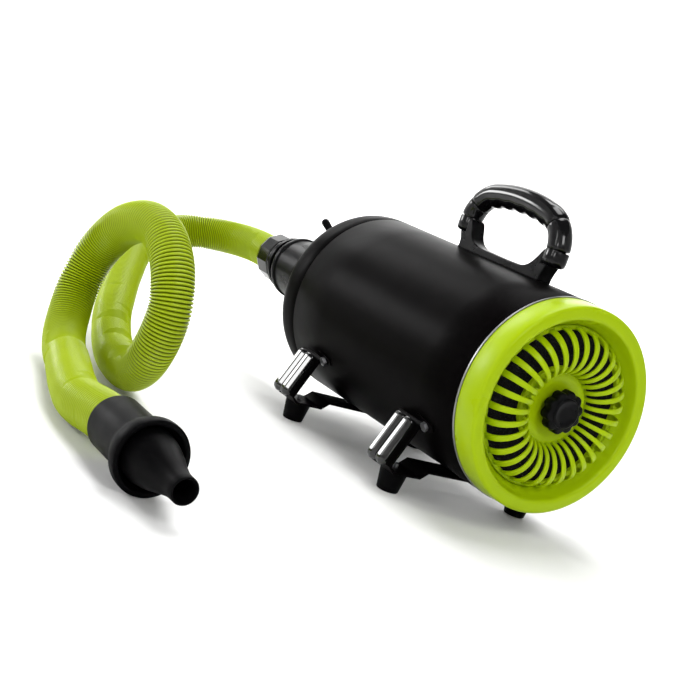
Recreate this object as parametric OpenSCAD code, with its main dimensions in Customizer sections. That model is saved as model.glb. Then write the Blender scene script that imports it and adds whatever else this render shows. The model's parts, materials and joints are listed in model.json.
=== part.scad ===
// Pet dryer: a lying cylinder blower on two leg brackets, with a ribbed intake,
// a carry handle and a corrugated hose that ends in a rubber nozzle.
// X runs along the body with the intake at +X, Z is up, and the feet stand on Z = 0.

/* [Body] */

// outer radius of the body tube
body_r = 100; // [80:1:130]
// height of the body's axis above the floor
axis_z = 130; // [115:1:150]
// length of the body tube between intake ring and rear cap
tube_len = 302; // [240:1:360]
// wall of the body tube
tube_wall = 1.5; // [1:0.5:3]
// depth of the rear cap's straight rim
cap_rim = 10; // [6:1:16]
// height of the rear cap's dome
cap_dome = 45; // [30:1:60]

/* [Intake] */

// depth of the intake ring, front to back
ring_depth = 27; // [20:1:40]
// outer radius of the ring's lip
lip_r = 99; // [80:1:120]
// inner radius of the ring's lip
mouth_r = 86.5; // [70:0.5:100]
// number of grille ribs
rib_count = 31; // [20:1:40]
// radius at which the ribs start
rib_out = 74.2; // [60:0.1:85]
// radius at which the ribs end
rib_in = 35; // [25:1:45]
// radius of the lobed knob
knob_r = 20.5; // [15:0.5:26]

/* [Legs and handle] */

// distance of the front leg bracket behind the lip
leg_front = 95; // [80:1:120]
// distance of the rear leg bracket behind the lip
leg_rear = 285; // [240:1:310]
// width of a leg bracket
leg_w = 38; // [30:1:50]
// distance of a foot from the middle
foot_y = 81.5; // [60:0.5:95]
// width of the handle's base across the body
handle_w = 17; // [14:1:19]
// thickness of the grip
grip_d = 22; // [18:1:26]

/* [Outlet and hose] */

// radius of the hose
hose_r = 20; // [15:1:25]
// sideways distance of the outlet from the body's axis
outlet_dy = -50; // [-60:1:0]
// height of the outlet above the body's axis
outlet_dz = 8; // [0:1:30]
// radius of the flared cuff
flare_r = 30; // [25:1:40]

/* [Show] */

// node to build

/* [Hidden] */

$fn = 64;

// the lip plane stands at lip_x, and the body's axis at axis_y
lip_x = 241;
axis_y = -8;
seam_x = lip_x - ring_depth;
cap_x = seam_x - 2 - tube_len;
dome_x = cap_x - cap_rim;
inner_r = body_r - tube_wall;
outlet_y = axis_y + outlet_dy;
outlet_z = axis_z + outlet_dz;
rib_x = lip_x - 14.7;
hub_r = 38.5;
fan_x = 20;
bulk_x = 209.8;
bolt_rear = 200;
bolt_front = 108;
grip_rear = 225;
grip_front = 85;
grip_bend = 34;
grip_x = lip_x - (grip_rear + grip_front) / 2;
grip_half = (grip_rear - grip_front) / 2 - grip_bend;
leg_top = 128;
arch_z = 164.6;

// centreline of the hose, from the nut to the cuff
hose_route = [
    [-238, -58, 138], [-262, -58, 138], [-283, -58, 138], [-304, -61, 137],
    [-324, -68, 135], [-341, -80, 132], [-354, -96, 128], [-361, -115, 123],
    [-361, -135, 117], [-354, -154, 111], [-341, -171, 104], [-325, -186, 97],
    [-305, -199, 89], [-284, -211, 81], [-262, -222, 73], [-240, -233, 65],
    [-218, -243, 57], [-195, -253, 49], [-172, -263, 42], [-148, -272, 35],
    [-123, -280, 29], [-98, -288, 25], [-73, -295, 22], [-49, -301, 21],
    [-27, -305, 21], [-6, -308, 22], [15, -311, 27], [33, -313, 39],
    [46, -315, 56], [53, -316, 76], [54, -317, 97], [48, -319, 117],
    [37, -321, 134], [21, -323, 147], [2, -325, 155], [-19, -328, 157],
    [-39, -331, 152], [-57, -334, 142], [-71, -337, 127], [-80, -341, 108],
    [-82, -345, 87], [-78, -349, 67], [-68, -353, 49], [-53, -358, 34],
    [-34, -363, 25], [-13, -368, 21], [10, -374, 21], [33, -381, 21],
    [56, -388, 21], [79, -395, 21], [102, -401, 21], [122, -406, 21],
    [140, -409, 22], [157, -411, 24], [181, -411, 27], [205, -411, 29],
    [229, -411, 30]
];
hose_end = hose_route[len(hose_route) - 1];

// ---- helpers ----

// child drawn along +Z is laid along +X, starting at x on the body's axis
module along(x, dy = 0, dz = 0) {
    translate([x, axis_y + dy, axis_z + dz])
        rotate([0, 90, 0])
            children();
}

// hollow tube along X
module ring_x(x, len, ro, ri, dy = 0, dz = 0) {
    along(x, dy, dz)
        difference() {
            cylinder(h = len, r = ro);
            translate([0, 0, -1]) cylinder(h = len + 2, r = ri);
        }
}

// half profile of the rear cap's dome: radius at a fraction t of the way out
function dome_h(r, ro, h) = h * pow(1 - pow(r / ro, 3), 1 / 3);
function dome_pts(ro, h, n) =
    [for (i = [0:n]) let (a = 90 * i / n) [ro * sin(a), dome_h(min(ro * sin(a), ro), ro, h)]];

// a solid bent bar: part of a torus in the XZ plane about (cx, cz), from angle a0 over sweep
module bend(cx, cz, radius, a0, sweep, d) {
    translate([cx, axis_y, axis_z + cz])
        rotate([90, 0, 0])
            rotate([0, 0, a0])
                rotate_extrude(angle = sweep)
                    translate([radius, 0]) circle(d = d);
}

// ---- body ----

module body_tube() {
    color([0.035, 0.035, 0.04])
        difference() {
            ring_x(cap_x, tube_len, body_r, inner_r);
            translate([lip_x - 70, axis_y + 90, axis_z - 34]) cube([20, 20, 20]);
            for (x = [lip_x - leg_front, lip_x - leg_rear], s = [-1, 1])
                tab_place(x, s) translate([24, 0, -8]) cylinder(h = 12, r = 2.6);
            for (x = [bolt_rear, bolt_front])
                translate([lip_x - x, axis_y, axis_z + 90]) cylinder(h = 20, r = 2.6);
        }
}

module rear_cap() {
    color([0.045, 0.045, 0.05])
        difference() {
            translate([dome_x, axis_y, axis_z]) rotate([0, -90, 0])
                difference() {
                    union() {
                        rotate_extrude()
                            polygon(concat(
                                [[0, 0]],
                                [for (i = [16:-1:0]) dome_pts(body_r, cap_dome, 16)[i]]
                            ));
                        translate([0, 0, -cap_rim]) cylinder(h = cap_rim, r = body_r);
                        translate([0, 0, -cap_rim - 8]) cylinder(h = 8, r = inner_r - 0.1);
                    }
                    rotate_extrude()
                        polygon(concat(
                                [[0, -0.01]],
                                [for (i = [16:-1:0]) dome_pts(body_r - 4, cap_dome - 3, 16)[i]]
                            ));
                    translate([0, 0, -cap_rim - 9]) cylinder(h = cap_rim + 9.1, r = body_r - 4);
                }
            along(dome_x - 60, outlet_dy, outlet_dz) cylinder(h = 70, r = 35.6);
            switch_axis() translate([0, 0, -20]) cylinder(h = 40, r = 7.6);
        }
}

module seam_ring() {
    color([0.55, 0.55, 0.56])
        ring_x(seam_x - 2, 2, body_r + 0.4, inner_r);
}

module intake_ring() {
    color([0.66, 0.82, 0.1])
        translate([lip_x, axis_y, axis_z]) rotate([0, 90, 0])
            difference() {
                rotate_extrude()
                    polygon([
                        [mouth_r + 1, 0], [lip_r - 2.5, 0], [lip_r - 0.8, -0.7], [lip_r, -2.5],
                        [lip_r + 0.6, -ring_depth], [98.4, -ring_depth], [98.4, -ring_depth - 9],
                        [92.5, -ring_depth - 9], [92.5, -24], [78.5, -24], [78.5, -15.5],
                        [81, -13], [84, -7], [mouth_r - 0.6, -1.5]
                    ]);
                for (i = [0:3])
                    rotate([0, 0, 45 + 90 * i]) translate([85, 0, -25]) cylinder(h = 8, r = 2.15);
            }
}

module outlet_collar() {
    color([0.03, 0.03, 0.035])
        along(-186, outlet_dy, outlet_dz)
            rotate([180, 0, 0])
                rotate_extrude()
                    polygon([[22.5, 0], [33, 0], [34, -1], [34, -9], [35.6, -11], [35.6, -56], [32.4, -56],
                             [32.4, -12], [22.5, -12]]);
}

module outlet_spigot() {
    color([0.03, 0.03, 0.035])
        along(-186, outlet_dy, outlet_dz)
            rotate([180, 0, 0])
                difference() {
                    union() {
                        cylinder(h = 11, r = 27);
                        translate([0, 0, 11]) cylinder(h = 6, r = 31);
                        translate([0, 0, 17]) cylinder(h = 35, r = 21);
                        translate([0, 0, 48]) cylinder(h = 4, r = 22.2);
                    }
                    translate([0, 0, -1]) cylinder(h = 60, r = 17);
                }
}

// ---- legs ----

// flat against the body at the top of an arm: local X along the body, local Z outwards
module tab_place(x, s) {
    translate([x, axis_y, axis_z])
        rotate([s * 124, 0, 0])
            translate([0, 0, body_r])
                children();
}

// one bracket: a cross plate that steps down to the feet and folds up into two arms
module bracket(x) {
    translate([x - leg_w / 2, axis_y, 0])
        difference() {
            rotate([90, 0, 90])
                linear_extrude(leg_w)
                    polygon([
                        [-56, 28], [56, 28], [64, 21], [96, 21], [103, 27], [86.4, 74.6], [83.9, 74.4],
                        [82.7, 70.8], [85.4, 69], [100.5, 27.6], [95, 23], [64.8, 23], [56.8, 30],
                        [-56.8, 30], [-64.8, 23], [-95, 23], [-100.5, 27.6], [-85.4, 69], [-82.7, 70.8],
                        [-83.9, 74.4], [-86.4, 74.6], [-103, 27], [-96, 21], [-64, 21]
                    ]);
            for (s = [-1, 1])
                translate([leg_w / 2, s * foot_y, 15]) cylinder(h = 12, r = 2.6);
        }
    for (s = [-1, 1])
        tab_place(x, s)
            linear_extrude(2)
                difference() {
                    polygon([
                        [10, -10 * s], [19, -10 * s], [35, -2 * s], [35, 4 * s], [19, 8 * s], [10, 8 * s]
                    ]);
                    translate([24, 0]) circle(r = 2.6);
                }
}

module front_bracket() {
    color([0.03, 0.03, 0.03]) bracket(lip_x - leg_front);
}

module rear_bracket() {
    color([0.03, 0.03, 0.03]) bracket(lip_x - leg_rear);
}

// glossy double bead that faces an arm
module arm_pad(x, s) {
    translate([x, axis_y + s * 101.62, 30.2])
        rotate([s * 20.3, 0, 0])
            for (dx = [-7.4, 7.4])
                translate([dx, s * 3.6, 0]) {
                    cylinder(h = 44, r = 7);
                    sphere(r = 7);
                }
}

module arm_pads() {
    color([0.16, 0.16, 0.17])
        for (x = [lip_x - leg_front, lip_x - leg_rear], s = [-1, 1])
            difference() {
                arm_pad(x, s);
                translate([x - 20, axis_y, 0]) rotate([90, 0, 90]) linear_extrude(40)
                    polygon([
                        [s * 80, 16], [s * 103.2, 16], [s * 103.2, 27], [s * 86.7, 74.8], [s * 86.7, 80],
                        [s * 60, 80]
                    ]);
            }
}

module arm_bolts() {
    color([0.2, 0.2, 0.21])
        for (x = [lip_x - leg_front, lip_x - leg_rear], s = [-1, 1])
            tab_place(x, s) translate([24, 0, 0]) {
                translate([0, 0, -6]) cylinder(h = 9, r = 2.5);
                translate([0, 0, 2]) cylinder(h = 3.5, r = 4.6, $fn = 6);
            }
}

module feet() {
    color([0.03, 0.03, 0.03])
        for (x = [lip_x - leg_front, lip_x - leg_rear], s = [-1, 1])
            translate([x, axis_y + s * foot_y, 0])
                difference() {
                    rotate_extrude()
                        polygon([[0, 0], [9.2, 0], [10.7, 1.5], [13.5, 20], [12.5, 21], [0, 21]]);
                    translate([0, 0, 3]) cylinder(h = 30, r = 2.6);
                    translate([0, 0, -1]) cylinder(h = 6, r = 5);
                }
}

module foot_screws() {
    color([0.6, 0.6, 0.62])
        for (x = [lip_x - leg_front, lip_x - leg_rear], s = [-1, 1])
            translate([x, axis_y + s * foot_y, 5]) {
                cylinder(h = 22, r = 2.5);
                translate([0, 0, -2.5]) cylinder(h = 2.5, r = 4.6);
            }
}

// ---- handle ----

module handle_base() {
    color([0.035, 0.035, 0.04])
        difference() {
            union() {
                translate([lip_x, axis_y + handle_w / 2, axis_z]) rotate([90, 0, 0])
                    linear_extrude(handle_w)
                        polygon([
                            [-221, 92], [-220, 102], [-223, 111], [-229, 116], [-217, 116], [-217, 127],
                            [-213, 127.5], [-209, 124], [-206, 118], [-201, 112], [-195, 108.5], [-186, 107],
                            [-124, 107], [-114, 109], [-107, 113.5], [-101, 120], [-98, 125], [-95, 127.5],
                            [-93, 127], [-93, 116], [-81, 116], [-86, 111], [-88, 102], [-88, 92]
                        ]);
                for (x = [grip_rear, grip_front])
                    translate([lip_x - x, axis_y, axis_z + 113]) cylinder(h = 13, d = 10);
            }
            along(lip_x - 260) cylinder(h = 220, r = body_r);
            for (x = [bolt_rear, bolt_front])
                translate([lip_x - x, axis_y, axis_z]) cylinder(h = 107, r = 2.6);
        }
}

module handle_bolts() {
    color([0.6, 0.6, 0.62])
        for (x = [bolt_rear, bolt_front])
            translate([lip_x - x, axis_y, axis_z + inner_r - 3.2]) {
                cylinder(h = 11, r = 2.5);
                cylinder(h = 3, r = 5);
            }
}

module grip_sleeve() {
    color([0.025, 0.025, 0.03]) {
        along(grip_x - 38, 0, arch_z) cylinder(h = 76, d = grip_d + 1);
        bend(grip_x - grip_half, leg_top, grip_bend, 88, 56, grip_d - 1);
        bend(grip_x + grip_half, leg_top, grip_bend, 52, 40, grip_d - 1);
        for (i = [-1.5:1.5])
            translate([grip_x + 20 * i, axis_y, axis_z + arch_z - 1.4]) sphere(r = 11.4);
    }
}

module grip_arms() {
    color([0.025, 0.025, 0.03]) {
        bend(grip_x - grip_half, leg_top, grip_bend, 144, 36, grip_d - 1.6);
        bend(grip_x + grip_half, leg_top, grip_bend, 0, 52, grip_d - 1.6);
    }
}

module grip_caps() {
    color([0.025, 0.025, 0.03])
        for (x = [grip_rear, grip_front])
            difference() {
                translate([lip_x - x, axis_y, axis_z + 116.2]) cylinder(h = leg_top - 116.2, d = grip_d - 2);
                translate([lip_x - x, axis_y, axis_z + 113]) cylinder(h = 13, d = 10);
                translate([lip_x - grip_rear + 8, axis_y - 10, axis_z + 110])
                    cube([grip_rear - grip_front - 16, 20, 30]);
            }
}

// ---- switch and mains inlet ----

module switch_axis() {
    translate([dome_x - 38, axis_y - 46, axis_z + 55])
        rotate([35, 0, 0])
            rotate([0, -46, 0])
                children();
}

module switch_boss() {
    color([0.04, 0.04, 0.045])
        difference() {
            switch_axis()
                difference() {
                    union() {
                        translate([0, 0, -16]) cylinder(h = 18, r = 7.5);
                        translate([0, 0, -16]) cylinder(h = 3, r = 10);
                    }
                    translate([0, 0, -17]) cylinder(h = 20, r = 5.6);
                    translate([0, 8, -6]) rotate([90, 0, 0]) cylinder(h = 16, r = 1.25);
                }
            along(-187, outlet_dy, outlet_dz) cylinder(h = 60, r = 35.8);
        }
}

module switch_body() {
    color([0.1, 0.1, 0.1])
        switch_axis()
            translate([-6, -6, -32]) cube([12, 12, 16]);
}

module switch_lever() {
    color([0.02, 0.02, 0.02])
        switch_axis() {
            translate([0, 0, -13]) cylinder(h = 37, r1 = 2.6, r2 = 4.4);
            translate([0, 0, 24]) sphere(r = 4.4);
            translate([0, 0, -6]) sphere(r = 5.2);
            translate([0, 6.9, -6]) rotate([90, 0, 0]) cylinder(h = 13.8, r = 1.2);
        }
}

module inlet_box() {
    color([0.03, 0.03, 0.035])
        difference() {
            translate([lip_x - 84, axis_y + 84, axis_z - 48.5]) cube([48, 44, 51.5]);
            along(lip_x - 100) cylinder(h = 80, r = body_r + 0.05);
            for (z = [-44, -3])
                translate([lip_x - 50, axis_y + 122, axis_z + z])
                    rotate([-90, 0, 0]) cylinder(h = 10, r = 3.05);
            translate([lip_x - 85, axis_y + 102, axis_z - 40]) cube([19, 22, 30]);
        }
}

module inlet_pins() {
    color([0.75, 0.68, 0.4])
        for (d = [[0, 7], [-5, -5], [5, -5]])
            translate([lip_x - 74, axis_y + 112 + d[0], axis_z - 27 + d[1]]) cube([8, 2, 4]);
}

module inlet_screws() {
    color([0.6, 0.6, 0.62])
        for (z = [-44, -3])
            translate([lip_x - 50, axis_y + 122, axis_z + z])
                rotate([-90, 0, 0]) cylinder(h = 6, r = 3);
}

// ---- intake grille, filter and knob ----

// one rib: a half hoop that stands out of the grille between rim and hub
module rib() {
    intersection() {
        translate([(rib_out + rib_in) / 2, 0, 0])
            rotate([90, 0, 0])
                translate([0, 0, -4])
                    difference() {
                        cylinder(h = 8, r = (rib_out - rib_in) / 2 + 2.1, $fn = 48);
                        translate([0, 0, -1]) cylinder(h = 10, r = (rib_out - rib_in) / 2 - 0.4, $fn = 48);
                        translate([-30, -60, -1]) cube([60, 60, 10]);
                    }
        translate([0, 0, -1])
            linear_extrude(30)
                polygon([[30, -1.9], [80, -3.1], [80, 3.1], [30, 1.9]]);
    }
}

module grille() {
    color([0.72, 0.88, 0.12])
        translate([rib_x, axis_y, axis_z]) rotate([0, 90, 0])
            difference() {
                union() {
                    for (i = [0:rib_count - 1])
                        rotate([0, 0, 360 * i / rib_count]) rib();
                    translate([0, 0, -4])
                        difference() {
                            cylinder(h = 4.2, r = 78);
                            translate([0, 0, -1]) cylinder(h = 7, r = rib_out - 1);
                        }
                    translate([0, 0, -4]) cylinder(h = 4.2, r = hub_r);
                    translate([0, 0, -2]) cylinder(h = 5, r = 34.2);
                }
                translate([0, 0, -10]) cylinder(h = 30, r = 4.2);
            }
}

module filter_foam() {
    color([0.02, 0.02, 0.025])
        ring_x(rib_x - 13.1, 9.1, 77, 6.5);
}

module knob() {
    color([0.02, 0.02, 0.025])
        along(rib_x + 3.4)
            difference() {
                union() {
                    cylinder(h = 3, r = 12);
                    translate([0, 0, 3])
                        difference() {
                            cylinder(h = 12, r = knob_r);
                            for (i = [0:9])
                                rotate([0, 0, 36 * i])
                                    translate([knob_r + 4.4, 0, -1])
                                        cylinder(h = 16, r = 6);
                        }
                    translate([0, 0, 15]) cylinder(h = 1.5, r1 = 15, r2 = 13.5);
                }
                translate([0, 0, -1]) cylinder(h = 13, r = 5);
            }
}

module knob_insert() {
    color([0.7, 0.6, 0.3])
        ring_x(rib_x + 3.4, 11, 5, 3.05);
}

module grille_stud() {
    color([0.6, 0.6, 0.62])
        along(bulk_x) {
            translate([0, 0, -3]) cylinder(h = 34, r = 3);
            translate([0, 0, -3]) cylinder(h = 3, r = 6);
            translate([0, 0, 3]) cylinder(h = 9, r = 6);
        }
}

// ---- inside ----

module bulkhead() {
    color([0.05, 0.05, 0.055])
        along(bulk_x)
            difference() {
                union() {
                    cylinder(h = 3, r = 92.3);
                    for (i = [0:3])
                        rotate([0, 0, 45 + 90 * i]) translate([85, 0, 1.5]) cylinder(h = 5.7, r = 5);
                }
                translate([0, 0, -1]) cylinder(h = 5, r = 3.01);
                for (ring = [[24, 8], [42, 14], [60, 20]], i = [0:ring[1] - 1])
                    rotate([0, 0, 360 * i / ring[1]])
                        translate([ring[0], 0, -1]) cylinder(h = 5, r = 6.5, $fn = 24);
                for (i = [0:3])
                    rotate([0, 0, 45 + 90 * i]) translate([85, 0, -1]) cylinder(h = 10, r = 2.15);
            }
}

module bulkhead_screws() {
    color([0.6, 0.6, 0.62])
        along(bulk_x)
            for (i = [0:3])
                rotate([0, 0, 45 + 90 * i]) translate([85, 0, -2.5]) {
                    cylinder(h = 16, r = 2.1);
                    cylinder(h = 2.5, r = 4);
                }
}

module foam_liner() {
    color([0.12, 0.12, 0.13])
        difference() {
            ring_x(cap_x + 8.2, 248, inner_r, inner_r - 10);
            for (x = [bolt_rear, bolt_front])
                translate([lip_x - x, axis_y, axis_z + 80]) cylinder(h = 20, r = 5.5);
            for (x = [lip_x - leg_front, lip_x - leg_rear], s = [-1, 1])
                tab_place(x, s) translate([24, 0, -15]) cylinder(h = 15, r = 3.5);
            translate([lip_x - 72, axis_y + 80, axis_z - 36]) cube([24, 30, 24]);
        }
}

module fan_housing() {
    color([0.62, 0.62, 0.64])
        along(fan_x)
            difference() {
                cylinder(h = 52, r = 72);
                translate([0, 0, 2]) cylinder(h = 48, r = 70);
                translate([0, 0, 49]) cylinder(h = 5, r = 24);
                translate([0, 0, -1]) cylinder(h = 5, r = 13.2);
                translate([52, -100, 13]) rotate([-90, 0, 0]) cylinder(h = 60, r = 8);
            }
}

module diffuser() {
    color([0.7, 0.7, 0.72])
        ring_x(fan_x + 25, 2, 70, 18);
}

// fan wheel: back plate, front shroud and curved vanes
module fan_wheel(x) {
    along(x)
        difference() {
            union() {
                cylinder(h = 1.5, r = 66);
                translate([0, 0, 14]) difference() {
                    cylinder(h = 1.2, r = 66);
                    translate([0, 0, -1]) cylinder(h = 4, r = 22);
                }
                cylinder(h = 10, r = 10);
                for (i = [0:8])
                    rotate([0, 0, 40 * i]) translate([44, 18, 0]) difference() {
                        cylinder(h = 14.6, r = 26);
                        translate([0, 0, -1]) cylinder(h = 17, r = 24.8);
                        translate([-30, -12, -1]) cube([60, 60, 18]);
                        translate([-60, -60, -1]) cube([44, 80, 18]);
                    }
            }
            translate([0, 0, -1]) cylinder(h = 20, r = 4);
        }
}

module first_fan() {
    color([0.72, 0.72, 0.74]) fan_wheel(fan_x + 30);
}

module second_fan() {
    color([0.72, 0.72, 0.74]) fan_wheel(fan_x + 5);
}

module motor_shaft() {
    color([0.65, 0.65, 0.67])
        along(fan_x - 95) cylinder(h = 139, r = 4);
}

module armature() {
    color([0.55, 0.3, 0.12])
        ring_x(fan_x - 58, 40, 24, 4);
}

module commutator() {
    color([0.72, 0.42, 0.2])
        ring_x(fan_x - 78, 15, 12, 4);
}

module motor_can() {
    color([0.3, 0.3, 0.32])
        along(fan_x - 96)
            difference() {
                cylinder(h = 96, r = 46);
                translate([0, 0, 3]) cylinder(h = 90, r = 44);
                translate([0, 0, -1]) cylinder(h = 100, r = 11);
                for (i = [0:5])
                    rotate([0, 0, 60 * i + 30]) translate([28, 0, -1]) cylinder(h = 5, r = 6, $fn = 24);
            }
}

module field_core() {
    color([0.35, 0.36, 0.38])
        ring_x(fan_x - 58, 40, 44, 25);
}

module front_bearing() {
    color([0.7, 0.7, 0.72])
        ring_x(fan_x - 7, 7, 11, 4.05);
}

module rear_bearing() {
    color([0.7, 0.7, 0.72])
        ring_x(fan_x - 96, 7, 11, 4.05);
}

module brush_holders() {
    color([0.5, 0.4, 0.2])
        for (s = [-1, 1])
            translate([fan_x - 74, axis_y - 4, axis_z + (s > 0 ? 12.5 : -43.8)]) cube([8, 8, 31.3]);
}

module front_motor_ring() {
    color([0.04, 0.04, 0.04])
        ring_x(fan_x + 36, 12, inner_r - 10, 72);
}

module rear_motor_ring() {
    color([0.04, 0.04, 0.04])
        difference() {
            ring_x(fan_x - 86, 12, inner_r - 10, 46);
            along(fan_x - 88)
                for (i = [0:7])
                    rotate([0, 0, 45 * i]) translate([67, 0, 0]) cylinder(h = 16, r = 14);
        }
}

module bell_mouth() {
    color([0.06, 0.06, 0.065])
        along(-174, outlet_dy, outlet_dz)
            rotate_extrude()
                polygon([[22.5, 0], [32.4, 0], [32.4, 3], [24.5, 3], [24.5, 34], [23.5, 36], [22.5, 36]]);
}

// ---- hose ----

module hose_nut() {
    color([0.03, 0.03, 0.035])
        along(-204, outlet_dy, outlet_dz)
            rotate([180, 0, 0])
                difference() {
                    union() {
                        cylinder(h = 8, r = 27);
                        translate([0, 0, 8]) cylinder(h = 26, r = 27, $fn = 12);
                        translate([0, 0, 34]) cylinder(h = 8.2, r1 = 26.5, r2 = 23, $fn = 12);
                    }
                    translate([0, 0, -1]) cylinder(h = 37, r = 22.6);
                    translate([0, 0, 30]) cylinder(h = 20, r = 21.4);
                }
}

// vectors for the swept tube
function unit(v) = v / norm(v);
function tangent(p, i) = unit(p[min(i + 1, len(p) - 1)] - p[max(i - 1, 0)]);
function side(t) = unit(cross(t, [0, 1, 1]));
function hoop(p, i, n, r) = let (t = tangent(p, i), u = side(t), v = cross(t, u))
    [for (k = [0:n - 1]) p[i] + r * (cos(360 * k / n) * u + sin(360 * k / n) * v)];

module hose() {
    n = 12;
    m = len(hose_route);
    pts = [for (i = [0:m - 1]) each hoop(hose_route, i, n, hose_r)];
    sides = [for (i = [0:m - 2], k = [0:n - 1])
        [i * n + k, i * n + (k + 1) % n, (i + 1) * n + (k + 1) % n, (i + 1) * n + k]];
    first = [for (k = [n - 1:-1:0]) k];
    last = [for (k = [0:n - 1]) (m - 1) * n + k];
    color([0.62, 0.78, 0.08])
        polyhedron(points = pts, faces = concat(sides, [first], [last]), convexity = 8);
}

module hose_cuff() {
    color([0.02, 0.02, 0.025])
        translate([hose_end[0] - 14, hose_end[1], hose_end[2]])
            rotate([0, 90, 0])
                rotate_extrude()
                    polygon([[20, 0], [22, 0], [23, 2], [23, 46], [29.2, 62], [30, 66], [30, 71], [29, 73],
                             [25.5, 73], [25, 70], [21.4, 52], [21.4, 18], [18.5, 18], [18.5, 14], [20, 14]]);
}

module nozzle() {
    color([0.02, 0.02, 0.025])
        translate([hose_end[0] + 6, hose_end[1], hose_end[2]])
            rotate([0, 90, 0])
                rotate_extrude()
                    polygon([
                        [18, 0], [20.9, 0], [20.9, 31], [21.9, 42], [20.5, 60], [14.5, 84], [11.2, 96],
                        [10.8, 110], [10, 111], [8.6, 111], [8.6, 96], [12, 84], [18, 58], [18.5, 42], [18, 31]
                    ]);
}

body_tube();
rear_cap();
seam_ring();
intake_ring();
outlet_collar();
outlet_spigot();
front_bracket();
rear_bracket();
arm_pads();
arm_bolts();
feet();
foot_screws();
handle_base();
handle_bolts();
grip_sleeve();
grip_arms();
grip_caps();
switch_boss();
switch_body();
switch_lever();
inlet_box();
inlet_pins();
inlet_screws();
grille();
filter_foam();
knob();
knob_insert();
grille_stud();
bulkhead();
bulkhead_screws();
foam_liner();
fan_housing();
diffuser();
first_fan();
second_fan();
motor_shaft();
armature();
commutator();
motor_can();
field_core();
front_bearing();
rear_bearing();
brush_holders();
front_motor_ring();
rear_motor_ring();
bell_mouth();
hose_nut();
hose();
hose_cuff();
nozzle();
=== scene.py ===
"""Looks of the pet dryer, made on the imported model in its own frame.

Sizes here are in millimetres, which piece() scales, apart from the camera, the floor and the lights.
"""
import json
import math

import bmesh
import bpy
from mathutils import Matrix, Vector


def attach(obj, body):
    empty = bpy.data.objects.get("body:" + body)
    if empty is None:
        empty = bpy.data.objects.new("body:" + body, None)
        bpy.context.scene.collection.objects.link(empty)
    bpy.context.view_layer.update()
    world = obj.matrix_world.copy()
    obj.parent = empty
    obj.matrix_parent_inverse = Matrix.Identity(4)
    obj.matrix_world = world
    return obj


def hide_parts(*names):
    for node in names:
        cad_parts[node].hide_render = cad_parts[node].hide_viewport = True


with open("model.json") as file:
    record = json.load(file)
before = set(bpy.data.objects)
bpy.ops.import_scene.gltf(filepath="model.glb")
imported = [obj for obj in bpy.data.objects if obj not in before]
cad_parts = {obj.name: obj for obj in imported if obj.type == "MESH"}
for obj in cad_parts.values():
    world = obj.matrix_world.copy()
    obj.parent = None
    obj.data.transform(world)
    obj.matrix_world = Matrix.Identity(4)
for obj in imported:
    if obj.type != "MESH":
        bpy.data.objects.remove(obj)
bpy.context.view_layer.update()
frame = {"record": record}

MM = 0.001
LIP_X = 241.0
AXIS_Y = -8.0
AXIS_Z = 130.0
BODY_R = 100.0
SEAM_X = LIP_X - 27
CAP_X = SEAM_X - 304
DOME_X = CAP_X - 10
OUTLET_Y = AXIS_Y - 50
OUTLET_Z = AXIS_Z + 8
RIB_X = LIP_X - 14.7
LEG_X = (LIP_X - 95, LIP_X - 285)
FOOT_Y = 81.5


# ---------------------------------------------------------------- camera
def make_camera():
    """The camera fitted to the photograph."""
    data = bpy.data.cameras.new("camera")
    data.lens = 69.14
    data.sensor_width = 36
    cam = bpy.data.objects.new("camera", data)
    right = Vector((0.4995, 0.7939, 0.3467)).normalized()
    back = Vector((0.8103, -0.5697, 0.1371)).normalized()
    up = back.cross(right).normalized()
    right = up.cross(back)
    cam.matrix_world = Matrix((
        (right.x, up.x, back.x, 1.1054),
        (right.y, up.y, back.y, -0.8589),
        (right.z, up.z, back.z, 0.2811),
        (0, 0, 0, 1),
    ))
    bpy.context.scene.collection.objects.link(cam)
    bpy.context.scene.camera = cam


make_camera()

# ---------------------------------------------------------------- hose route, the same points as the CAD's
HOSE_R = 20.0
HOSE_ROUTE = [
    (-238, -58, 138), (-262, -58, 138), (-283, -58, 138), (-304, -61, 137),
    (-324, -68, 135), (-341, -80, 132), (-354, -96, 128), (-361, -115, 123),
    (-361, -135, 117), (-354, -154, 111), (-341, -171, 104), (-325, -186, 97),
    (-305, -199, 89), (-284, -211, 81), (-262, -222, 73), (-240, -233, 65),
    (-218, -243, 57), (-195, -253, 49), (-172, -263, 42), (-148, -272, 35),
    (-123, -280, 29), (-98, -288, 25), (-73, -295, 22), (-49, -301, 21),
    (-27, -305, 21), (-6, -308, 22), (15, -311, 27), (33, -313, 39),
    (46, -315, 56), (53, -316, 76), (54, -317, 97), (48, -319, 117),
    (37, -321, 134), (21, -323, 147), (2, -325, 155), (-19, -328, 157),
    (-39, -331, 152), (-57, -334, 142), (-71, -337, 127), (-80, -341, 108),
    (-82, -345, 87), (-78, -349, 67), (-68, -353, 49), (-53, -358, 34),
    (-34, -363, 25), (-13, -368, 21), (10, -374, 21), (33, -381, 21),
    (56, -388, 21), (79, -395, 21), (102, -401, 21), (122, -406, 21),
    (140, -409, 22), (157, -411, 24), (181, -411, 27), (205, -411, 29),
    (229, -411, 30),
]


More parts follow.
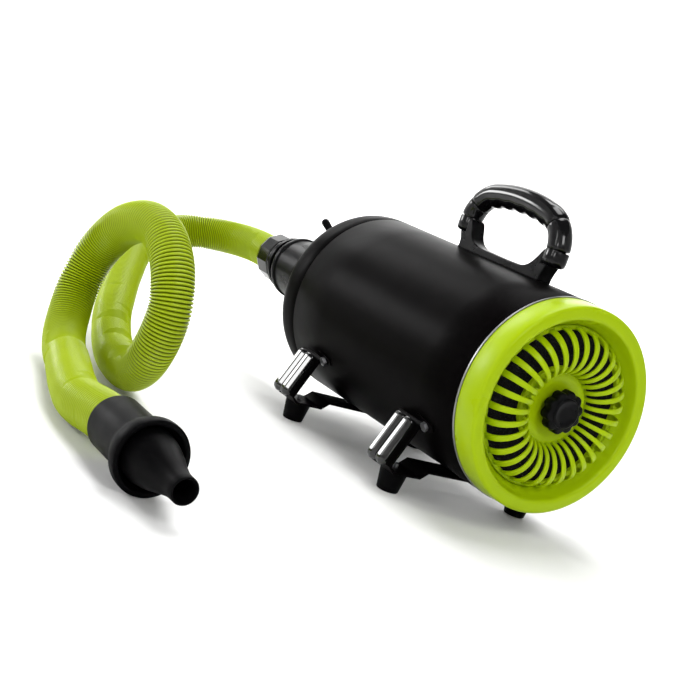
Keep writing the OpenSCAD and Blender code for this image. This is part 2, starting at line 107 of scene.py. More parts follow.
# ---------------------------------------------------------------- materials
def surface(name, color, rough, metal=0.0, vary=0.10, blotch=14.0, grain=700.0, bump=0.12,
            depth=0.0002, rough_vary=0.06, pits=0.0, spec=0.5):
    """A moulded or painted surface: slow colour drift, fine grain bump and uneven gloss."""
    mat = bpy.data.materials.new(name)
    mat.use_nodes = True
    nodes = mat.node_tree.nodes
    link = mat.node_tree.links.new
    bsdf = nodes["Principled BSDF"]
    bsdf.inputs["Metallic"].default_value = metal
    bsdf.inputs["Specular IOR Level"].default_value = spec
    coord = nodes.new("ShaderNodeTexCoord")
    slow = nodes.new("ShaderNodeTexNoise")
    slow.inputs["Scale"].default_value = blotch
    slow.inputs["Detail"].default_value = 4.0
    link(coord.outputs["Object"], slow.inputs["Vector"])
    mix = nodes.new("ShaderNodeMix")
    mix.data_type = "RGBA"
    low = [max(c * (1 - vary), 0.0) for c in color]
    high = [min(c * (1 + vary), 1.0) for c in color]
    mix.inputs["A"].default_value = (*low, 1)
    mix.inputs["B"].default_value = (*high, 1)
    link(slow.outputs["Fac"], mix.inputs["Factor"])
    link(mix.outputs["Result"], bsdf.inputs["Base Color"])
    smudge = nodes.new("ShaderNodeTexNoise")
    smudge.inputs["Scale"].default_value = blotch * 3.1
    smudge.inputs["Detail"].default_value = 6.0
    link(coord.outputs["Object"], smudge.inputs["Vector"])
    span = nodes.new("ShaderNodeMapRange")
    span.inputs["From Min"].default_value = 0.3
    span.inputs["From Max"].default_value = 0.7
    span.inputs["To Min"].default_value = max(rough - rough_vary, 0.02)
    span.inputs["To Max"].default_value = min(rough + rough_vary, 1.0)
    link(smudge.outputs["Fac"], span.inputs["Value"])
    link(span.outputs["Result"], bsdf.inputs["Roughness"])
    if pits:
        fine = nodes.new("ShaderNodeTexVoronoi")
        fine.inputs["Scale"].default_value = pits
        height = fine.outputs["Distance"]
    else:
        fine = nodes.new("ShaderNodeTexNoise")
        fine.inputs["Scale"].default_value = grain
        fine.inputs["Detail"].default_value = 3.0
        height = fine.outputs["Fac"]
    link(coord.outputs["Object"], fine.inputs["Vector"])
    bumps = nodes.new("ShaderNodeBump")
    bumps.inputs["Strength"].default_value = bump
    bumps.inputs["Distance"].default_value = depth
    link(height, bumps.inputs["Height"])
    link(bumps.outputs["Normal"], bsdf.inputs["Normal"])
    return mat


def brushed(name, color, rough, direction):
    """Metal with fine brush lines that run across one direction."""
    mat = surface(name, color, rough, metal=1.0, vary=0.08, rough_vary=0.05)
    nodes = mat.node_tree.nodes
    link = mat.node_tree.links.new
    coord = next(n for n in nodes if n.type == "TEX_COORD")
    stretch = nodes.new("ShaderNodeMapping")
    stretch.inputs["Scale"].default_value = direction
    link(coord.outputs["Object"], stretch.inputs["Vector"])
    lines = nodes.new("ShaderNodeTexNoise")
    lines.inputs["Scale"].default_value = 40.0
    lines.inputs["Detail"].default_value = 2.0
    link(stretch.outputs["Vector"], lines.inputs["Vector"])
    bumps = next(n for n in nodes if n.type == "BUMP")
    bumps.inputs["Strength"].default_value = 0.25
    link(lines.outputs["Fac"], bumps.inputs["Height"])
    return mat


def surface_with_painted_groove_shade(name, *args, **more):
    """The same surface with painted shade: its colour is darkened where the mesh says it is deep in a
    groove.
    """
    mat = surface(name, *args, **more)
    nodes = mat.node_tree.nodes
    link = mat.node_tree.links.new
    # painted shade: the base colour falls to 7 % of itself at the bottom of each groove, standing in for
    # the shade there
    depth = nodes.new("ShaderNodeAttribute")
    depth.attribute_name = "painted_groove_shade"
    shade = nodes.new("ShaderNodeMapRange")
    shade.inputs["To Min"].default_value = 1.0
    shade.inputs["To Max"].default_value = 0.07
    link(depth.outputs["Fac"], shade.inputs["Value"])
    groove_shaded_color = nodes.new("ShaderNodeVectorMath")
    groove_shaded_color.operation = "SCALE"
    mix = next(n for n in nodes if n.type == "MIX")
    link(mix.outputs["Result"], groove_shaded_color.inputs[0])
    link(shade.outputs["Result"], groove_shaded_color.inputs["Scale"])
    link(groove_shaded_color.outputs["Vector"], nodes["Principled BSDF"].inputs["Base Color"])
    return mat


GREEN = (0.31, 0.44, 0.001)
MAT = {
    "body_paint": surface(
        "body_paint", (0.0016, 0.0013, 0.0014), 0.36, vary=0.2, grain=1600, bump=0.06,
        depth=0.0001, rough_vary=0.012, spec=0.014),
    "green_plastic": surface(
        "green_plastic", GREEN, 0.32, vary=0.05, blotch=9, grain=900, bump=0.05,
        depth=0.0001, spec=0.11),
    # the hose colour carries painted shade in its grooves
    "green_hose": surface_with_painted_groove_shade(
        "green_hose", (0.35, 0.46, 0.002), 0.38, vary=0.07, blotch=20, grain=1200, bump=0.08,
        depth=0.0001, spec=0.3),
    "black_plastic": surface(
        "black_plastic", (0.0018, 0.0018, 0.0021), 0.30, vary=0.25, grain=1400, bump=0.08,
        depth=0.0001, spec=0.07),
    "grip_gloss": surface(
        "grip_gloss", (0.003, 0.003, 0.0034), 0.12, vary=0.25, grain=300, bump=0.02,
        depth=0.0001, rough_vary=0.04, spec=0.28),
    "black_rubber": surface(
        "black_rubber", (0.0019, 0.0018, 0.0021), 0.46, vary=0.25, grain=1100, bump=0.14,
        depth=0.00012, spec=0.03),
    "pad_gloss": surface(
        "pad_gloss", (0.004, 0.004, 0.004), 0.05, vary=0.2, grain=260, bump=0.006,
        depth=0.0001, rough_vary=0.015, spec=0.7),
    "steel": brushed("steel", (0.26, 0.26, 0.27), 0.38, (1, 30, 30)),
    "silver_metal": brushed("silver_metal", (0.62, 0.62, 0.64), 0.30, (30, 1, 30)),
    "brass_metal": brushed("brass_metal", (0.66, 0.50, 0.22), 0.30, (1, 20, 20)),
    "copper_winding": brushed("copper_winding", (0.52, 0.22, 0.09), 0.35, (60, 2, 2)),
    "motor_steel": surface("motor_steel", (0.16, 0.16, 0.17), 0.40, metal=0.6, vary=0.12),
    "foam": surface(
        "foam", (0.006, 0.006, 0.0065), 0.95, vary=0.4, blotch=200, bump=0.9,
        depth=0.0012, pits=520, spec=0.1),
}
SLOT_OF = {p["node"]: p["material_slot"] for p in frame["record"]["subparts"]}
for node, slot_name in SLOT_OF.items():
    mesh = bpy.data.objects[node].data
    mesh.materials.clear()
    mesh.materials.append(MAT[slot_name])


# ---------------------------------------------------------------- helpers
BEVEL_ANGLE = 32


def soften(obj, width, steps):
    """Round off the edges that turn by more than BEVEL_ANGLE."""
    mod = obj.modifiers.new("edge", "BEVEL")
    mod.width = width * MM
    mod.segments = steps
    mod.limit_method = "ANGLE"
    mod.angle_limit = math.radians(BEVEL_ANGLE)
    mod.harden_normals = True


def piece(name, verts, faces, body, slot, replaced=(), bevel=0.0, steps=2, sharp=35.0):
    """A smooth mesh piece in millimetres that rides a body and may stand for CAD nodes."""
    mesh = bpy.data.meshes.new(name)
    mesh.from_pydata([Vector(v) * MM for v in verts], [], faces)
    bm = bmesh.new()
    bm.from_mesh(mesh)
    bmesh.ops.remove_doubles(bm, verts=bm.verts, dist=1e-6)
    bmesh.ops.recalc_face_normals(bm, faces=bm.faces)
    bm.to_mesh(mesh)
    bm.free()
    mesh.polygons.foreach_set("use_smooth", [True] * len(mesh.polygons))
    mesh.set_sharp_from_angle(angle=math.radians(sharp))
    mesh.materials.append(MAT[slot])
    obj = bpy.data.objects.new(name, mesh)
    bpy.context.scene.collection.objects.link(obj)
    if bevel:
        soften(obj, bevel, steps)
    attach(obj, body)
    if replaced:
        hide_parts(*replaced)
    return obj


def grid_faces(rows, cols, close_rows=False, close_cols=True):
    """Quads of a grid of points, row after row."""
    faces = []
    for i in range(rows if close_rows else rows - 1):
        for k in range(cols if close_cols else cols - 1):
            a, b = i * cols, ((i + 1) % rows) * cols
            faces.append((a + k, a + (k + 1) % cols, b + (k + 1) % cols, b + k))
    return faces


def tube_faces(rows, cols):
    """Quads of a tube with a face over each end."""
    faces = grid_faces(rows, cols)
    faces.append(tuple(range(cols)))
    faces.append(tuple(reversed(range((rows - 1) * cols, rows * cols))))
    return faces


def lathe_mesh(profile, origin, axis=(1, 0, 0), segs=96, shape=None):
    """Turn a closed (along, radius) profile about an axis. shape(angle) scales the radius."""
    axis = Vector(axis).normalized()
    side = axis.cross(Vector((0, 1, 0)))
    if side.length < 0.1:
        side = axis.cross(Vector((1, 0, 0)))
    side.normalize()
    other = axis.cross(side)
    verts = []
    for along, radius in profile:
        for k in range(segs):
            t = math.tau * k / segs
            r = radius * (shape(t) if shape else 1.0)
            verts.append(Vector(origin) + axis * along + (side * math.cos(t) + other * math.sin(t)) * r)
    return verts, grid_faces(len(profile), segs, close_rows=True)


def lathe(name, profile, origin, body, slot, replaced=(), axis=(1, 0, 0), segs=96, shape=None, **more):
    """A turned piece that rides a body."""
    verts, faces = lathe_mesh(profile, origin, axis, segs, shape)
    return piece(name, verts, faces, body, slot, replaced, **more)


def smooth_path(points, step):
    """Catmull-Rom through the points, sampled about every step."""
    pts = [Vector(p) for p in points]
    pts = [pts[0] * 2 - pts[1]] + pts + [pts[-1] * 2 - pts[-2]]
    dense = []
    for i in range(1, len(pts) - 2):
        p0, p1, p2, p3 = pts[i - 1:i + 3]
        for j in range(16):
            t = j / 16
            dense.append(0.5 * (2 * p1 + (p2 - p0) * t + (2 * p0 - 5 * p1 + 4 * p2 - p3) * t * t
                                + (3 * p1 - p0 - 3 * p2 + p3) * t ** 3))
    dense.append(pts[-2])
    total = sum((b - a).length for a, b in zip(dense, dense[1:]))
    count = max(2, round(total / step))
    out, want, walked = [dense[0]], total / count, 0.0
    for a, b in zip(dense, dense[1:]):
        length = (b - a).length
        while walked + length >= want * len(out) and len(out) < count:
            out.append(a.lerp(b, (want * len(out) - walked) / length))
        walked += length
    out.append(dense[-1])
    return out


def sweep_mesh(path, section, segs):
    """Sweep round a path, with frames that turn as little as they can.

    section(i, angle) gives the offsets to the side and up.
    """
    count = len(path)
    tangents = [(path[min(i + 1, count - 1)] - path[max(i - 1, 0)]).normalized() for i in range(count)]
    side = tangents[0].cross(Vector((0, 0, 1)))
    if side.length < 0.1:
        side = tangents[0].cross(Vector((0, 1, 0)))
    side.normalize()
    verts = []
    for i, (p, t) in enumerate(zip(path, tangents)):
        side = (side - t * side.dot(t)).normalized()
        up = side.cross(t)
        for k in range(segs):
            a, b = section(i, math.tau * k / segs)
            verts.append(p + side * a + up * b)
    return verts, tube_faces(count, segs)


def plate(outline, low, high, place):
    """A flat outline extruded from low to high; place(u, v, w) gives the point."""
    n = len(outline)
    verts = [place(u, v, low) for u, v in outline] + [place(u, v, high) for u, v in outline]
    faces = [tuple(reversed(range(n))), tuple(range(n, 2 * n))]
    faces += [(i, (i + 1) % n, n + (i + 1) % n, n + i) for i in range(n)]
    return verts, faces


def joined(parts):
    """Several (verts, faces) as one."""
    verts, faces = [], []
    for v, f in parts:
        base = len(verts)
        verts += v
        faces += [tuple(base + i for i in face) for face in f]
    return verts, faces


def from_cad(name, node, body, bevel):
    """The CAD node's own shape with its edges rounded off."""
    mesh = bpy.data.objects[node].data.copy()
    mesh.name = name
    bm = bmesh.new()
    bm.from_mesh(mesh)
    bmesh.ops.remove_doubles(bm, verts=bm.verts, dist=2e-6)
    bmesh.ops.dissolve_limit(bm, angle_limit=math.radians(1.0), verts=bm.verts, edges=bm.edges)
    bm.to_mesh(mesh)
    bm.free()
    mesh.polygons.foreach_set("use_smooth", [True] * len(mesh.polygons))
    mesh.set_sharp_from_angle(angle=math.radians(BEVEL_ANGLE))
    obj = bpy.data.objects.new(name, mesh)
    bpy.context.scene.collection.objects.link(obj)
    soften(obj, bevel, 2)
    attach(obj, body)
    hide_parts(node)
    return obj


# ---------------------------------------------------------------- hose
RING_PITCH = 3.1
RING_STEPS = 4
RING_DEPTH = 2.5
HOSE_SIDES = 40
SKIN = 0.05


def make_hose():
    """The corrugated hose, with each point's depth in its groove kept for the material's painted groove
    shade.
    """
    path = smooth_path(HOSE_ROUTE, RING_PITCH / RING_STEPS)
    heights = (0.0, 0.75, 1.0, 0.75)

    def section(i, t):
        r = HOSE_R - SKIN - RING_DEPTH * (1 - heights[i % RING_STEPS])
        return r * math.cos(t), r * math.sin(t)

    verts, faces = sweep_mesh(path, section, HOSE_SIDES)
    obj = piece("hose_tube", verts, faces, "base", "green_hose", ("hose",), sharp=80)
    # each point's depth in its groove, which the hose material turns into painted shade
    painted_groove_shade = obj.data.attributes.new("painted_groove_shade", "FLOAT", "POINT")
    painted_groove_shade.data.foreach_set("value", [
        1 - heights[k // HOSE_SIDES % RING_STEPS] for k in range(len(obj.data.vertices))])


END_X, END_Y, END_Z = HOSE_ROUTE[-1]
cuff = lathe("cuff_sleeve", [
    (0, 19.95), (0, 22), (0.6, 22.7), (1.6, 23), (46, 23), (50, 24), (56, 26.6), (61, 28.8),
    (64.5, 29.8), (67, 30), (71, 30), (72.4, 29.6), (73, 28.6), (73, 27), (72.6, 25.9), (71, 25.3),
    (69, 24.8), (60, 23.0), (52, 21.4), (18, 21.4), (18, 18.5), (14, 18.5), (14, 19.95)],
    (END_X - 14, END_Y, END_Z), "base", "black_rubber", ("hose_cuff",), segs=128)
nozzle = lathe("nozzle_cone", [
    (0, 18), (0, 20.9), (30, 20.9), (36, 21.3), (42, 21.8), (48, 21.8), (54, 21.3), (60, 20.3),
    (66, 18.9), (73, 17.0), (80, 15.1), (86, 13.5), (91, 12.3), (95, 11.5), (99, 11.0), (104, 10.8),
    (109.6, 10.8), (110.6, 10.5), (111, 9.9), (110.8, 9.1), (110, 8.6), (96, 8.6), (90, 10), (84, 12),
    (58, 18), (40, 18.5), (26, 18)],
    (END_X + 6, END_Y, END_Z), "nozzle", "black_rubber", ("nozzle",), segs=128)
make_hose()


# ---------------------------------------------------------------- body and intake ring
def dome(r, radius, height):
    """How far the rear cap's dome stands out at a distance from its axis."""
    return height * max(0.0, 1 - (r / radius) ** 3) ** (1 / 3)


lathe("body_shell", [
    (SEAM_X - 2, 98.5), (SEAM_X - 2, 99.4), (SEAM_X - 2.6, 100), (SEAM_X - 60, 100), (SEAM_X - 150, 100),
    (CAP_X + 60, 100), (CAP_X + 0.9, 100), (CAP_X + 0.25, 99.6), (CAP_X + 0.25, 98.5)],
    (0, AXIS_Y, AXIS_Z), "base", "body_paint", ("body_tube",), segs=192, sharp=60)
cap_profile = [(CAP_X, 96), (CAP_X, 99.6), (CAP_X - 0.7, 100), (DOME_X, 100)]
for i in range(1, 29):
    a = math.radians(90 * (1 - i / 28))
    rad = BODY_R * math.sin(a)
    cap_profile.append((DOME_X - dome(rad, BODY_R, 45), rad))
cap_profile += [(DOME_X - dome(r, 96, 42), r) for r in (0.0, 30, 60, 80, 90, 94)]
cap_profile.append((DOME_X, 96))
lathe("rear_dome", cap_profile, (0, AXIS_Y, AXIS_Z), "base", "body_paint", ("rear_cap",), segs=192,
    sharp=60)

lathe("intake_bowl", [
    (0.0, 88.2), (0.15, 90), (0.15, 95.4), (-0.05, 96.8), (-0.7, 98.0), (-1.7, 98.8), (-3.0, 99.05),
    (-26.3, 99.6), (-27, 99.2), (-27, 98.4), (-36, 98.4), (-36, 92.5), (-24, 92.5), (-24, 78.5),
    (-15.5, 78.5), (-14.3, 79.5), (-12.4, 81.2), (-9.6, 83.0), (-6.6, 84.3), (-3.6, 85.3), (-1.6, 86.0),
    (-0.6, 86.9)],
    (LIP_X, AXIS_Y, AXIS_Z), "base", "green_plastic", ("intake_ring",), segs=224, sharp=50)
lathe("seam_band", [(-2, 98.5), (-2, 100.1), (-1.7, 100.4), (-0.3, 100.4), (0, 100.1), (0, 98.5)],
      (SEAM_X, AXIS_Y, AXIS_Z), "base", "steel", ("seam_ring",), segs=224)


# ---------------------------------------------------------------- grille
def rib_section(half_w, half_t, t):
    """A soft rectangle."""
    c, s = math.cos(t), math.sin(t)
    n = 0.45
    return (half_w * math.copysign(abs(c) ** n, c), half_t * math.copysign(abs(s) ** n, s))


RIBS = 31
RIB_INNER, RIB_OUTER = 35, 74.2
RIB_HOOP = 20.45
RIB_FLOOR = -3.2
RIB_STEPS = 22
RIB_SIDES = 16


def grille_meshes():
    """Ribs that arch from the rim to the hub disc, with the rim and the hub."""
    parts = []
    mid = (RIB_OUTER + RIB_INNER) / 2
    forward = Vector((1, 0, 0))
    origin = Vector((RIB_X, AXIS_Y, AXIS_Z))
    for i in range(RIBS):
        turn = math.tau * i / RIBS
        # the radial direction in the grille's plane, and the direction across it
        radial = Vector((0, math.sin(turn), -math.cos(turn)))
        across = Vector((0, math.cos(turn), math.sin(turn)))
        verts = []
        for j in range(RIB_STEPS + 1):
            a = math.radians(-10 + 200 * j / RIB_STEPS)
            r = mid + RIB_HOOP * math.cos(a)
            h = max(RIB_HOOP * math.sin(a), RIB_FLOOR)
            half_w = 1.9 + (r - RIB_INNER) / (RIB_OUTER - RIB_INNER) * 1.15
            outward = radial * math.cos(a) + forward * math.sin(a)
            for k in range(RIB_SIDES):
                w, t = rib_section(half_w, 1.25, math.tau * k / RIB_SIDES)
                verts.append(origin + radial * r + forward * h + across * w + outward * t)
        parts.append((verts, tube_faces(RIB_STEPS + 1, RIB_SIDES)))
    rim = [
        (-4, 73.2), (-4, 78), (-0.8, 78), (-0.1, 77.6), (0.2, 76.8), (0.2, 74.4), (-0.1, 73.6),
        (-0.8, 73.2)]
    hub = [
        (-4, 38.5), (-0.6, 38.5), (0.0, 38.2), (0.2, 37.6), (0.2, 35.4), (0.6, 34.6), (2.2, 34.2),
        (2.8, 33.8), (3.0, 33.0), (3.0, 24.5), (2.7, 24.1), (2.7, 4.2), (-4, 4.2)]
    parts.append(lathe_mesh(rim, origin, segs=160))
    parts.append(lathe_mesh(hub, origin, segs=128))
    return joined(parts)


verts, faces = grille_meshes()
piece("grille_ribs", verts, faces, "cover", "green_plastic", ("grille",), sharp=50)
lathe("filter_pad", [(0, 6.5), (0, 75.6), (1.2, 77), (8, 77), (9.1, 76), (9.1, 6.5)],
      (RIB_X - 13.1, AXIS_Y, AXIS_Z), "cover", "foam", ("filter_foam",))


def lobes(count, depth):
    """Round lobes with narrower dips between them, as a factor on the radius."""

    def shape(t):
        wave = 0.5 + 0.5 * math.cos(count * t)
        return 1 - depth * (1 - wave) ** 1.6

    return shape


knob_parts = [
    lathe_mesh([(0, 5), (0, 12), (3, 12), (3, 5)], (RIB_X + 3.4, AXIS_Y, AXIS_Z), segs=64),
    lathe_mesh([
        (3, 5), (3, 19), (3.8, 20.1), (5, 20.5), (12.2, 20.5), (13.8, 20.1), (14.7, 19.2), (15.1, 18.0),
        (15.1, 12), (12.1, 12), (12.1, 5)],
        (RIB_X + 3.4, AXIS_Y, AXIS_Z), segs=200, shape=lobes(10, 0.115)),
    lathe_mesh([
        (12.1, 0.01), (12.1, 13.6), (15.2, 14.4), (16.1, 14.0), (16.5, 13.1), (16.4, 11.6),
        (15.9, 10.8), (15.8, 6), (15.8, 0.01)],
        (RIB_X + 3.4, AXIS_Y, AXIS_Z), segs=96),
]
verts, faces = joined(knob_parts)
piece("knob_lobed", verts, faces, "knob", "black_plastic", ("knob",), sharp=45)

# ---------------------------------------------------------------- outlet and nut
OUT = (-186, OUTLET_Y, OUTLET_Z)
lathe("outlet_flange", [
    (0, 22.5), (0, 33.6), (0.5, 34.6), (1.4, 35), (5.4, 35), (6.2, 34.6), (6.6, 33.8), (7.4, 33.2),
    (20, 33.4), (56, 33.8), (56, 32.4), (12, 32.4), (12, 22.5)],
    OUT, "base", "black_plastic", ("outlet_collar",), segs=128)
lathe("spigot_rings", [
    (0, 27), (-10.5, 27), (-11, 27.4), (-11, 30.4), (-11.6, 31), (-16.2, 31), (-17, 30.2), (-17, 21),
    (-48, 21), (-48, 22.2), (-52, 22.2), (-52, 17), (1, 17)],
    OUT, "base", "black_plastic", ("outlet_spigot",), segs=128)


def facets(count):
    """A regular polygon with sharp corners, as a factor on the radius."""
    step = math.tau / count

    def shape(t):
        return math.cos(step / 2) / math.cos((t + step / 2) % step - step / 2)

    return shape


nut_parts = [
    lathe_mesh([
        (0, 22.6), (0, 26.2), (-0.8, 27), (-6.6, 27), (-7.4, 26.4), (-7.6, 25.6), (-7.6, 22.6)],
        (-204, OUTLET_Y, OUTLET_Z), segs=120),
    lathe_mesh([
        (-7.6, 22.6), (-7.6, 25.8), (-8.4, 27.0), (-10, 27.6), (-31, 27.6), (-33, 27.0), (-34.6, 26),
        (-41.2, 23.2), (-42.2, 22.4), (-42.2, 21.4), (-35, 21.4), (-35, 22.6)],
        (-204, OUTLET_Y, OUTLET_Z), segs=240, shape=facets(12)),
]
verts, faces = joined(nut_parts)
piece("nut_faceted", verts, faces, "nut", "grip_gloss", ("hose_nut",), sharp=12)


# ---------------------------------------------------------------- legs
ARM_LEAN = 20.3
BEAD_R, BEAD_APART = 7.0, 7.3
BEAD_LOW, BEAD_LONG, BEAD_TAPER = -6.6, 50.4, 42.6
BEAD_STEPS, BEAD_SIDES = 24, 48


def beads(s):
    """The glossy double bead on one arm: two long beads with flats along them."""
    parts = []
    lean = math.radians(ARM_LEAN)
    flat = facets(8)
    for leg_x in LEG_X:
        for dx in (-BEAD_APART, BEAD_APART):
            verts = []
            for j in range(BEAD_STEPS + 1):
                h = BEAD_LOW + BEAD_LONG * j / BEAD_STEPS
                if h < 0:
                    scale = math.sqrt(max(0.0, 1 - (h / 6.8) ** 2))
                elif h > BEAD_TAPER:
                    scale = 1 - (h - BEAD_TAPER) * 0.16
                else:
                    scale = 1.0
                for k in range(BEAD_SIDES):
                    t = math.tau * k / BEAD_SIDES
                    r = BEAD_R * scale * flat(t)
                    u, v = r * math.cos(t), r * math.sin(t)
                    # v leans away from the body with the arm
                    out = 3.6 + v
                    y = s * (101.62 + out * math.cos(lean) - h * math.sin(lean))
                    z = 30.2 + out * math.sin(lean) + h * math.cos(lean)
                    verts.append((leg_x + dx + u, AXIS_Y + y, z))
            parts.append((verts, tube_faces(BEAD_STEPS + 1, BEAD_SIDES)))
    return parts


verts, faces = joined(beads(-1) + beads(1))
piece("arm_beads", verts, faces, "base", "pad_gloss", ("arm_pads",), sharp=50)
from_cad("front_leg", "front_bracket", "base", 0.6)
from_cad("rear_leg", "rear_bracket", "base", 0.6)
foot_parts = []
for leg_x in LEG_X:
    for s in (-1, 1):
        foot_parts.append(lathe_mesh([
            (0, 5), (0, 9.0), (0.35, 10.0), (1.3, 10.7), (6, 11.4), (14, 12.6), (19.4, 13.4),
            (20.4, 13.2), (21, 12.4), (21, 2.6), (5, 2.6), (5, 5)],
            (leg_x, AXIS_Y + s * FOOT_Y, 0), axis=(0, 0, 1), segs=72))
verts, faces = joined(foot_parts)
piece("foot_rubbers", verts, faces, "base", "black_rubber", ("feet",), sharp=40)

# ---------------------------------------------------------------- handle
GRIP_REAR, GRIP_FRONT, GRIP_BEND, LEG_TOP = 225.0, 85.0, 34.0, 128.0
GRIP_X = LIP_X - (GRIP_REAR + GRIP_FRONT) / 2
GRIP_HALF = (GRIP_REAR - GRIP_FRONT) / 2 - GRIP_BEND
ARCH_R, ARCH_Z = 207.2, 165.8
BUMP_PITCH, BUMP_REACH = 20, 50


def bend(centre_x, a):
    """A point on one of the two bends where the grip turns down to its leg."""
    t = math.radians(a)
    return (centre_x + GRIP_BEND * math.cos(t), AXIS_Y, AXIS_Z + LEG_TOP + GRIP_BEND * math.sin(t))


def rear_bend(a):
    return bend(GRIP_X - GRIP_HALF, a)


def front_bend(a):
    return bend(GRIP_X + GRIP_HALF, a)


def arch(a):
    """A point on the long, flat arch between the bends."""
    t = math.radians(a)
    return (GRIP_X + ARCH_R * math.cos(t), AXIS_Y, AXIS_Z + ARCH_Z - ARCH_R + ARCH_R * math.sin(t))


def grip_part(points, radius, swell=0.0, bumps=False):
    """One length of the grip, its ends rounded in. swell thickens its middle."""
    path = smooth_path(points, 1.1)
    count = len(path)

    def section(i, t):
        edge = min(i, count - 1 - i)
        shrink = (0.8, 0.25, 0.05, 0.0)[min(edge, 3)]
        r = radius - shrink + swell * math.sin(math.pi * i / (count - 1))
        c, s = math.cos(t), math.sin(t)
        high = r * s
        off = path[i].x - GRIP_X
        if bumps and s < 0 and abs(off) < BUMP_REACH:
            high -= math.cos(math.pi * off / BUMP_PITCH) ** 2 * abs(s) ** 0.8
        return r * c, high

    return sweep_mesh(path, section, 56)


middle = [rear_bend(a) for a in range(144, 102, -6)] + [arch(a) for a in range(102, 78, -3)]
middle += [front_bend(a) for a in range(78, 52, -6)] + [front_bend(52)]
verts, faces = grip_part(middle, 12.0, 0.5, True)
piece("grip_middle", verts, faces, "base", "grip_gloss", ("grip_sleeve",), sharp=60)
verts, faces = joined([
    grip_part([rear_bend(a) for a in range(173, 146, -5)] + [rear_bend(144.7)], 11.7),
    grip_part([front_bend(a) for a in range(7, 50, 6)] + [front_bend(51.3)], 11.7)])
piece("grip_bends", verts, faces, "base", "grip_gloss", ("grip_arms",), sharp=60)
cap_parts = []
for x in (GRIP_REAR, GRIP_FRONT):
    cap_parts.append(lathe_mesh([
        (116.2, 0.01), (116.2, 7.4), (116.7, 9.2), (117.8, 10.6), (119.6, 11.5), (122, 11.8), (131.2, 11.8),
        (131.8, 11.5), (132, 11.0), (132, 0.01)], (LIP_X - x, AXIS_Y, AXIS_Z), axis=(0, 0, 1), segs=72))
verts, faces = joined(cap_parts)
piece("grip_ends", verts, faces, "base", "grip_gloss", ("grip_caps",), sharp=50)


def base_outline():
    """Side view of the handle's saddle, behind the lip and above the axis."""
    return [
        (-221, 98.9), (-220.2, 104), (-221.4, 109), (-224, 113.5), (-226, 116.4), (-217.5, 116.4),
        (-217.5, 129), (-214.5, 131.2), (-211.5, 129.5), (-209.4, 126), (-207.6, 122), (-205.8, 117.6),
        (-203, 113.6), (-199.4, 110.6), (-195, 108.6), (-190.5, 107.4), (-186, 107), (-170, 106.7),
        (-155, 106.6), (-140, 106.7), (-124, 107), (-119, 107.6), (-114, 109), (-110, 111.2),
        (-106.6, 114.2), (-103.6, 117.6), (-100.8, 121.4), (-98, 126), (-95.6, 129.6), (-93, 131),
        (-92.5, 129), (-92.5, 116.4), (-83.5, 116.4), (-85.2, 113), (-86.8, 108.5), (-87.8, 104),
        (-88, 98.9)]


verts, faces = plate(base_outline(), -8.5, 8.5, lambda u, v, w: (LIP_X + u, AXIS_Y + w, AXIS_Z + v))
piece("handle_saddle", verts, faces, "base", "black_plastic", ("handle_base",),
      bevel=1.6, steps=3, sharp=40)

# ---------------------------------------------------------------- switch
def round_end(centre, radius, angles):
    """Points of a ball's outline, for a lathe profile; angles in degrees from its equator."""
    turns = [math.radians(a) for a in angles]
    return [(centre + radius * math.sin(t), radius * math.cos(t)) for t in turns]


tilt = Matrix.Rotation(math.radians(35), 3, "X") @ Matrix.Rotation(math.radians(-46), 3, "Y")
SWITCH_AXIS = tilt @ Vector((0, 0, 1))
SWITCH_AT = (DOME_X - 38, AXIS_Y - 46, AXIS_Z + 55)
lathe("switch_collar", [
    (-16, 5.6), (-16, 9.6), (-15.4, 10), (-13.4, 10), (-13, 9.6), (-13, 7.5), (1.2, 7.5), (1.8, 7.1),
    (2, 6.4), (1.8, 5.9), (1.4, 5.6)],
    SWITCH_AT, "base", "black_plastic", ("switch_boss",), axis=SWITCH_AXIS, segs=64)
lever_profile = [(-13, 0.01), (-13, 2.6), (-11.0, 2.7)]
lever_profile += round_end(-6, 5.2, range(-55, 56, 11))
lever_profile += [(2, 3.2), (8, 3.6), (18, 4.2), (23.4, 4.45)]
lever_profile += round_end(24, 4.4, range(10, 90, 13))
lever_profile.append((28.4, 0.01))
lathe("switch_stick", lever_profile, SWITCH_AT, "switch", "black_rubber", ("switch_lever",),
      axis=SWITCH_AXIS, segs=48)

# ---------------------------------------------------------------- mains inlet
from_cad("mains_block", "inlet_box", "base", 1.2)


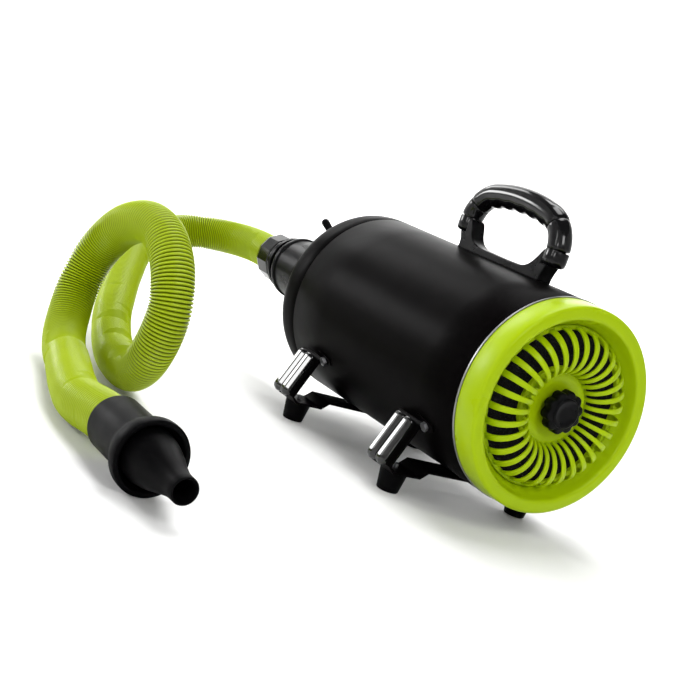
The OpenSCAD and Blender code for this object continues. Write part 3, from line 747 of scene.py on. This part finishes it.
# ---------------------------------------------------------------- floor and light
def make_stage():
    """A pale round floor whose rim curves up far away."""
    flat, curve, segs = 2.5, 2.0, 96
    rows = [(r, 0.0) for r in (0.05, 0.6, 1.5, flat)]
    for degrees in range(9, 91, 9):
        a = math.radians(degrees)
        rows.append((flat + curve * math.sin(a), curve - curve * math.cos(a)))
    rows += [(flat + curve, 3.2), (flat + curve, 4.4)]
    verts = []
    for r, z in rows:
        for k in range(segs):
            t = math.tau * k / segs
            verts.append((r * math.cos(t), r * math.sin(t), z))
    faces = grid_faces(len(rows), segs)
    faces.append(tuple(range(segs)))
    mesh = bpy.data.meshes.new("floor")
    mesh.from_pydata(verts, [], faces)
    bm = bmesh.new()
    bm.from_mesh(mesh)
    bmesh.ops.recalc_face_normals(bm, faces=bm.faces)
    bm.to_mesh(mesh)
    bm.free()
    mesh.polygons.foreach_set("use_smooth", [True] * len(mesh.polygons))
    mesh.materials.append(surface("floor_paper", (0.86, 0.86, 0.855), 0.85, vary=0.01, bump=0.02))
    obj = bpy.data.objects.new("floor", mesh)
    bpy.context.scene.collection.objects.link(obj)


def area_light(name, at, look, size, power, size_y=None):
    """A soft light that faces a point: metres and watts."""
    data = bpy.data.lights.new(name, "AREA")
    data.shape = "RECTANGLE"
    data.size = size
    data.size_y = size_y or size
    data.energy = power
    obj = bpy.data.objects.new(name, data)
    obj.matrix_world = (Matrix.Translation(Vector(at))
                        @ (Vector(look) - Vector(at)).to_track_quat("-Z", "Y").to_matrix().to_4x4())
    bpy.context.scene.collection.objects.link(obj)


make_stage()
MIDDLE = (0, -0.1, 0.12)
BEADS = (0.05, -0.11, 0.06)
area_light("top_softbox", (-0.2, -0.1, 2.1), MIDDLE, 1.0, 27)
area_light("front_softbox", (1.9, -0.5, 1.5), MIDDLE, 0.7, 18)
area_light("rear_strip", (-1.55, -1.2, 0.55), BEADS, 0.50, 13, 0.42)
area_light("side_strip", (0.35, -2.2, 0.95), BEADS, 0.10, 6, 0.9)
area_light("near_strip", (1.04, -1.64, 0.69), BEADS, 0.18, 4, 0.42)
area_light("back_softbox", (-1.7, -0.2, 1.35), MIDDLE, 0.45, 8, 0.9)
area_light("wall_wash", (-1.7, 1.4, 3.0), (-4.2, 3.2, 1.6), 2.2, 190)
area_light("floor_wash", (-1.2, 0.9, 2.6), (-2.6, 2.0, 0.0), 1.6, 60)
world = bpy.data.worlds.new("studio")
world.use_nodes = True
world.node_tree.nodes["Background"].inputs["Color"].default_value = (1, 1, 1, 1)
world.node_tree.nodes["Background"].inputs["Strength"].default_value = 0.13
bpy.context.scene.world = world
bpy.context.scene.view_settings.view_transform = "Standard"
